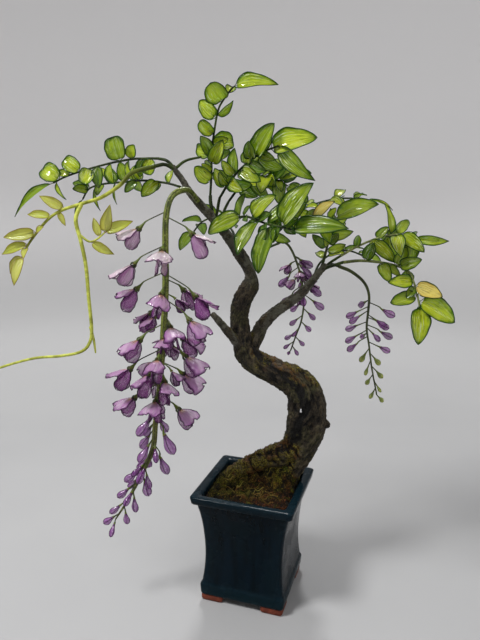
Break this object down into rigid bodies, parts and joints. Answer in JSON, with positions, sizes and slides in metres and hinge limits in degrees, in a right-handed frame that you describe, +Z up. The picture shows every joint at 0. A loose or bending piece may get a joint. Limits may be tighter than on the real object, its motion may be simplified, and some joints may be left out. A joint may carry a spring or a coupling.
{
  "type": "wisteria bonsai",
  "caption": "Small wisteria tree with a winding trunk, leafy fronds and hanging flower clusters, set in moss in a waisted square pot on corner feet.",
  "frame": {"origin": "middle of the whole plant's outline seen from above, on the surface that the pot's feet stand on", "axes": "+Z up; the pot's sides lie along X and Y; the tree's front looks towards -Y, turned about 17 degrees towards +X"},
  "size_m": [0.4308, 0.2582, 0.55],
  "materials": {
    "glaze": "glossy dark blue-green glaze",
    "soil": "rough set filling",
    "moss": "tufted moss",
    "bark": "rough furrowed bark",
    "green_stem": "taped wire",
    "leaf_resin": "clear green resin in wire loops",
    "young_leaf_resin": "clear yellow-green resin",
    "petal_resin": "clear purple resin in wire loops",
    "pale_petal_resin": "clear lilac and white resin",
    "bud_resin": "clear purple resin on dark stalks"
  },
  "bodies": {
    "root": {"frond_back": "leaf_resin", "frond_crown_front": "leaf_resin", "frond_crown_middle": "leaf_resin", "frond_crown_right": "leaf_resin", "frond_crown_top": "leaf_resin", "frond_crown_upper": "leaf_resin", "frond_left_lower": "leaf_resin", "frond_left_upper": "leaf_resin", "frond_rear_left": "leaf_resin", "frond_right_lower": "leaf_resin", "frond_right_rear": "leaf_resin", "frond_right_twig": "leaf_resin", "frond_right_upper": "leaf_resin", "moss": "moss", "pot": "glaze", "raceme_back": "bud_resin", "raceme_main_floret_01": "pale_petal_resin", "raceme_main_floret_02": "pale_petal_resin", "raceme_main_floret_03": "pale_petal_resin", "raceme_main_floret_04": "pale_petal_resin", "raceme_main_floret_05": "petal_resin", "raceme_main_floret_06": "petal_resin", "raceme_main_floret_07": "petal_resin", "raceme_main_floret_08": "petal_resin", "raceme_main_floret_09": "petal_resin", "raceme_main_floret_10": "petal_resin", "raceme_main_floret_11": "petal_resin", "raceme_main_floret_12": "petal_resin", "raceme_main_floret_13": "petal_resin", "raceme_main_floret_14": "petal_resin", "raceme_main_floret_15": "petal_resin", "raceme_main_floret_16": "petal_resin", "raceme_main_floret_17": "petal_resin", "raceme_main_floret_18": "petal_resin", "raceme_main_floret_19": "petal_resin", "raceme_main_floret_20": "petal_resin", "raceme_main_floret_21": "petal_resin", "raceme_main_floret_22": "petal_resin", "raceme_main_floret_23": "petal_resin", "raceme_main_floret_24": "petal_resin", "raceme_main_floret_25": "petal_resin", "raceme_main_floret_26": "petal_resin", "raceme_main_floret_27": "petal_resin", "raceme_main_floret_28": "petal_resin", "raceme_main_floret_29": "petal_resin", "raceme_main_floret_30": "petal_resin", "raceme_main_floret_31": "petal_resin", "raceme_main_floret_32": "petal_resin", "raceme_main_floret_33": "petal_resin", "raceme_main_floret_34": "petal_resin", "raceme_main_floret_35": "petal_resin", "raceme_main_floret_36": "petal_resin", "raceme_main_floret_37": "petal_resin", "raceme_main_floret_38": "petal_resin", "raceme_main_floret_39": "petal_resin", "raceme_main_stem": "green_stem", "raceme_right": "bud_resin", "shoot_left_young": "young_leaf_resin", "soil": "soil", "trunk_and_branches": "bark"}
  },
  "joints": []
}
